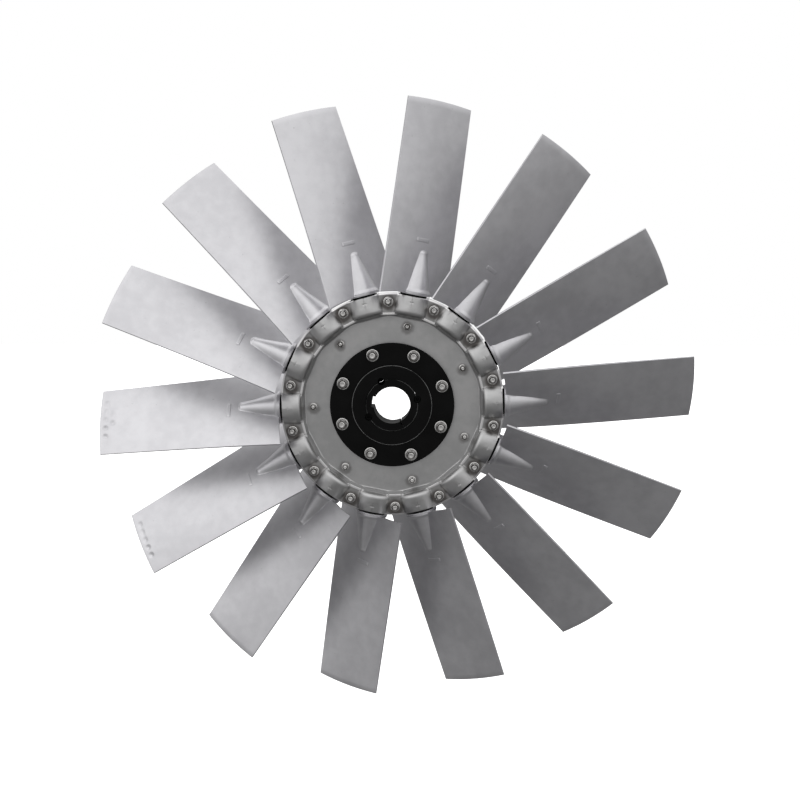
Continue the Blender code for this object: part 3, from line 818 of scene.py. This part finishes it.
def bore_edge(angles):
    """Radius of the bore: a circle, with the flat floor and the walls of the keyway, and the closing slot."""
    off = np.abs(away(angles, KEYWAY_ANGLE))
    corner, wall = math.atan2(KEYWAY_HALF, KEYWAY_FLOOR), math.asin(KEYWAY_HALF / BORE_RADIUS)
    side = KEYWAY_HALF / np.sin(np.maximum(off, 0.01))
    edge = np.where(off < wall + 1e-4, np.minimum(side, KEYWAY_FLOOR / np.cos(off)), BORE_RADIUS)
    edge = np.maximum(edge, BORE_RADIUS)
    return np.where(np.abs(away(angles, SLOT_ANGLE)) < math.radians(1.95), 38.6 * MM, edge)


def bush_radius(height):
    """Taper of the bush, widest at its front face."""
    return BUSH_LARGE - (BUSH_FRONT - height) * BUSH_TAPER


def lathe(profile, angles):
    """Closed ring of a profile whose radii may each be an array over the angles."""
    rows = [np.stack([radius * np.cos(angles), radius * np.sin(angles), height + 0 * angles], -1)
            for radius, height in profile]
    return closed_hoop(np.stack(rows))


def flange_skin():
    """Plate with a boss and a barrel; the holes widen its tapered bore down to their floor."""
    angles = lathe_angles()
    hole = hole_edge(angles, 1)
    outline = [(65.9, -30.0), (65.9, 6.3), (101.3, 6.3), (101.8, 6.8), (101.8, 14.1), (101.4, 14.5), (66.1, 14.5),
               (65.7, 14.8), (65.5, 15.3), (65.5, 17.0), (65.0, 17.5)]
    profile = [(radius * MM, height * MM) for radius, height in outline]
    for height, chamfer in ((17.5, 0.9), (17.0, 0.3), (-2.5, 0.3)):
        taper = bush_radius(height * MM) + chamfer * MM
        profile.append((np.maximum(taper, hole), height * MM))
    profile += [(bush_radius(-2.5 * MM) + 0.3 * MM, -2.5 * MM), (bush_radius(-30 * MM) + 0.3 * MM, -30 * MM)]
    return lathe(profile, angles)


def bush_skin():
    """Tapered ring with keyway, slot and the inner halves of the holes."""
    angles = lathe_angles()
    hole, bore = hole_edge(angles, -1), bore_edge(angles)
    profile = [(bore, -28.5 * MM), (bore, 15.5 * MM), (bore + 1.0 * MM, 16.5 * MM)]
    profile += [(np.minimum(bush_radius(height * MM) - inset * MM, hole), height * MM)
                for height, inset in ((16.5, 0.6), (16.0, 0.05), (-2.5, 0.05))]
    profile += [(bush_radius(-2.5 * MM) - 0.05 * MM, -2.5 * MM), (bush_radius(-28.5 * MM), -28.5 * MM)]
    return lathe(profile, angles)


flange = add_piece("turned_flange", [flange_skin()], black_steel, "hub", "drive_flange", 30)
bush = add_piece("turned_bush", [bush_skin()], black_steel, "hub", "taper_bush", 30)
print("flange and bush triangles:", triangles(flange), triangles(bush))

# %% [markdown]
# ## Bolts, nuts and washers
#
# A nut's six flats are a wave on a lathe: at an angle a the flat lies at apothem / cos(a), with a taken from the
# middle of the nearest flat. The chamfer on top of a nut is a cone, and the smaller of flat and cone gives the
# curved corners that real nuts have. On top stands a round crown that holds the dark gripping ring. A thread is a
# saw-tooth wave of angle and height together. So one bolt with nut, washers and head is a single turned skin.

# %% One bolt
def hexagon(angles, flats):
    """Radius of a hexagon of a given width across flats."""
    off = (angles + math.pi / 6) % (math.pi / 3) - math.pi / 6
    return flats / 2 / np.cos(off)


def turned(profile, angles, place):
    """Closed skin of a profile of (radius, height) or (radius, height, mark) turned round a place, with its marks."""
    rings = np.stack([np.stack([r * np.cos(angles), r * np.sin(angles), h + 0 * angles], -1) for r, h, *_ in profile])
    marks = np.array([row[2] if len(row) > 2 else 0.0 for row in profile])
    ends = marks[[0, -1]]
    return closed_tube(rings * MM + np.array([*place, 0])), np.concatenate([np.repeat(marks, len(angles)), ends])


def bolt_skin(place, thread, flats, nut_height, washer, washer_height, seat, back_seat, head_height, stub, spin):
    """Bolt, nut, washers and head turned round their common line. Lengths in millimetres from the split plane."""
    angles = np.linspace(0, 2 * math.pi, 48, endpoint=False)
    corner = hexagon(angles + spin, flats)
    nut_base = seat + washer_height
    nut_top = nut_base + nut_height
    tip = nut_top + stub
    crown, ring = 0.94 * flats / 2, 0.80 * flats / 2
    hex_top = nut_top - 0.30 * nut_height
    profile = [(thread * 0.15, tip - 0.5, 0.5), (thread * 0.40, tip - 0.2, 0.4), (thread * 0.50, tip, 0),
               (thread - 1.0, tip), (thread - 0.7, tip - 0.2)]
    for height in np.linspace(stub - 0.6, 0.1, max(4, int(stub / 0.22))):
        wave = np.abs(((height / 1.25 + angles / (2 * math.pi)) % 1) - 0.5) * 2
        profile.append((thread - 0.45 * wave, nut_top + height))
    profile += [(thread - 0.1, nut_top - 0.25, 1), (ring - 0.1, nut_top - 0.35, 1), (ring, nut_top - 0.3, 0)]
    slope = 0.10 * nut_height
    profile += [(ring + 0.2, nut_top), (crown - 0.5, nut_top - 0.5 * slope), (crown, nut_top - 1.5 * slope)]
    # The mark 0.3 darkens the step under the crown: painted shade.
    profile += [(crown + 0.05, hex_top + 0.1, 0.3)]
    for drop in (0.0, 0.2, 0.5, 0.9, 1.4):
        profile.append((np.minimum(corner, crown + 0.1 + drop * 1.1), hex_top - drop))
    # Marks at the foot of the nut and on the washer's top round it darken them: painted shade under the nut, with some
    # dirt.
    profile += [(corner, nut_base + 0.3), (np.minimum(corner, flats / 2 + 0.3), nut_base, 0.5)]
    profile += [(flats / 2 + 0.3, nut_base, 0.7), (washer - 0.9, nut_base, 0.5), (washer - 0.5, nut_base - 0.1, 0.0)]
    profile += [(washer, nut_base - 0.5), (washer, seat + 0.25), (washer - 0.2, seat)]
    profile += [(thread, seat - 0.3), (thread, back_seat + 0.3), (washer - 0.2, back_seat)]
    under = back_seat - washer_height
    profile += [(washer, back_seat - 0.25), (washer, under + 0.25), (washer - 0.25, under), (flats / 2 - 0.2, under)]
    profile += [(corner, under - 0.2)]
    for rise in (0.9, 0.6, 0.35, 0.15, 0.0):
        profile.append((np.minimum(corner, flats / 2 * 0.95 + rise * 1.7), under - head_height + rise))
    return turned(profile, angles, place)


def round_axis(radius, angle):
    """Place at a radius and an angle."""
    return radius * MM * math.cos(angle), radius * MM * math.sin(angle)


CLAMP = dict(thread=4.0, flats=13.0, nut_height=6.5, washer=8.0, washer_height=1.6, seat=18.3, back_seat=-18.3,
             head_height=5.3, stub=2.8)
FLANGE_SET = dict(thread=5.0, flats=16.0, nut_height=8.0, washer=9.9, washer_height=2.0, seat=14.8, back_seat=-6.3,
                  head_height=6.4, stub=2.6)
WEB_SET = dict(thread=3.0, flats=10.0, nut_height=5.0, washer=6.2, washer_height=1.4, seat=6.1, back_seat=-6.1,
               head_height=4.0, stub=2.2)
SETS = [("clamp_set_%02d", "clamp_bolt_%02d", 168.5, CLAMP_ANGLES, CLAMP),
        ("flange_set_%d", "flange_bolt_%d", 87.4, FLANGE_BOLT_ANGLES, FLANGE_SET),
        ("web_set_%d", None, 130.0, BLADE_ANGLES[::2], WEB_SET)]
draw = np.random.default_rng(7)
bolts = []
for name, node, circle, angles, sizes in SETS:
    for k, angle in enumerate(angles):
        skin, marks = bolt_skin(round_axis(circle, angle), spin=draw.uniform(0, 1), **sizes)
        replaced = node and node % (k + 1)
        bolts.append(add_piece(name % (k + 1), [skin], zinc_steel, "hub", replaced, marks=marks))
print("bolts:", len(bolts), "triangles each:", triangles(bolts[0]))

# %% [markdown]
# ## Grub screws of the bush
#
# Two headless screws with a hexagon socket hold the bush in its taper. They fill two of the three holes, and the
# third stays empty for the screw that pushes the bush out again.

# %% Grub screws
def grub_skin(place):
    """Threaded cylinder with a chamfer and a hexagon socket in its outer end."""
    angles = np.linspace(0, 2 * math.pi, 48, endpoint=False)
    key = hexagon(angles, 6.0)
    profile = [(key * 0.9, 9.0), (key, 13.2), (3.9, 13.7), (5.0, 13.7), (5.7, 13.0)]
    for height in np.linspace(12.8, -1.5, 60):
        wave = np.abs(((height / 1.5 + angles / (2 * math.pi)) % 1) - 0.5) * 2
        profile.append((5.75 - 0.55 * wave, height))
    return turned(profile + [(5.0, -2.2)], angles, place)[0]


for k, angle in enumerate(HOLE_ANGLES[:2]):
    node = "bush_screw_%d" % (k + 1)
    add_piece("grub_screw_%d" % (k + 1), [grub_skin(round_axis(42.75, angle))], black_steel, "hub", node)
print("grub screws: 2")

# %% [markdown]
# ## Camera
#
# The photograph looks a little down on the fan and slightly from its right. Distance, direction and lens follow
# from how the tips and the bolt circles lie in the picture, and the small shift puts the fan's middle where it is.

# %% Camera
CAMERA_DISTANCE, CAMERA_SIDE, CAMERA_RISE = 1.597, math.radians(2.41), math.radians(7.34)
camera_data = bpy.data.cameras.new("camera")
camera_data.lens, camera_data.sensor_width = 43.56, 36.0
camera_data.shift_x, camera_data.shift_y = 0.0096, 0.0051
camera = bpy.data.objects.new("camera", camera_data)
bpy.context.scene.collection.objects.link(camera)
camera.location = (CAMERA_DISTANCE * math.sin(CAMERA_SIDE) * math.cos(CAMERA_RISE),
                   -CAMERA_DISTANCE * math.cos(CAMERA_SIDE) * math.cos(CAMERA_RISE),
                   CAMERA_DISTANCE * math.sin(CAMERA_RISE))
camera.rotation_euler = (math.pi / 2 - CAMERA_RISE, 0, CAMERA_SIDE)
bpy.context.scene.camera = camera
print("camera at", [round(value, 3) for value in camera.location])

# %% [markdown]
# ## Studio: light, floor and background
#
# Metal shows what stands round it, so it wants few lights, and large soft ones. The outer half of a blade is
# pitched about 27 degrees. It mirrors what stands at twice that angle off the viewer's line, a quarter turn
# clockwise from the blade. So two lights above, one on the left and a slightly weaker one on the right, brighten
# the blades on the left, while those on the right mirror the dim room below. A third light hangs above and
# behind, for the rims and the far side. Each is a smooth function of the direction, brightest where the
# direction agrees with the light's own. Their levels stay low enough that no blade burns out to white.

# %% Studio
ROOM_LEVEL = 0.2
LIGHT_POWER = 8
# Each light: degrees round the fan axis, anticlockwise from the right, tilt off the viewer's line, and level
KEY_LIGHT = (135, 55, 1.2)
FILL_LIGHT = (45, 55, 1.0)
BACK_LIGHT = (90, 125, 1.2)


def studio_world():
    """World brightness by direction: the room's even level and three soft lights.

    The agreement of a direction d with a light's direction l is (1 + d.l) / 2, and the light is a power of it:
    the higher the power, the smaller the light.
    """
    world = bpy.data.worlds.new("studio")
    bpy.context.scene.world = world
    paint = Paint(world)
    paint.tree.nodes.clear()
    direction = paint.node("ShaderNodeTexCoord", None, None, "Generated")

    def soft_light(side, tilt, strength):
        side, tilt = math.radians(side), math.radians(tilt)
        light = np.array([math.sin(tilt) * math.cos(side), math.sin(tilt) * math.sin(side), math.cos(tilt)])
        sockets = {0: direction, 1: tuple(to_model(light))}
        along = paint.node("ShaderNodeVectorMath", {"operation": "DOT_PRODUCT"}, sockets, "Value")
        return strength * (0.5 + 0.5 * along) ** LIGHT_POWER

    level = ROOM_LEVEL + soft_light(*KEY_LIGHT) + soft_light(*FILL_LIGHT) + soft_light(*BACK_LIGHT)
    soft = paint.node("ShaderNodeBackground", None, {"Color": (1, 1, 1, 1), "Strength": level})
    white = paint.node("ShaderNodeBackground", None, {"Color": (1, 1, 1, 1), "Strength": 1.0})
    seen = paint.node("ShaderNodeLightPath", None, None, "Is Camera Ray")
    both = paint.node("ShaderNodeMixShader", None, {0: seen, 1: soft, 2: white})
    output = paint.tree.nodes.new("ShaderNodeOutputWorld")
    paint.feed(output.inputs["Surface"], both)


studio_world()
floor_mesh = bpy.data.meshes.new("floor")
floor_mesh.from_pydata([(-9, -9, -0.52), (9, -9, -0.52), (9, 9, -0.52), (-9, 9, -0.52)], [], [(0, 1, 2, 3)])
floor_material = bpy.data.materials.new("pale_floor")
floor_paint = Paint(floor_material)
floor_shader = floor_paint.tree.nodes["Principled BSDF"]
floor_shader.inputs["Base Color"].default_value = grey(0.8)
floor_shader.inputs["Emission Color"].default_value = grey(1.0)
floor_shader.inputs["Emission Strength"].default_value = 0.9
floor_mesh.materials.append(floor_material)
floor = bpy.data.objects.new("floor", floor_mesh)
bpy.context.scene.collection.objects.link(floor)
floor.visible_glossy = False
bpy.context.scene.view_settings.view_transform = "Standard"
print("studio ready")
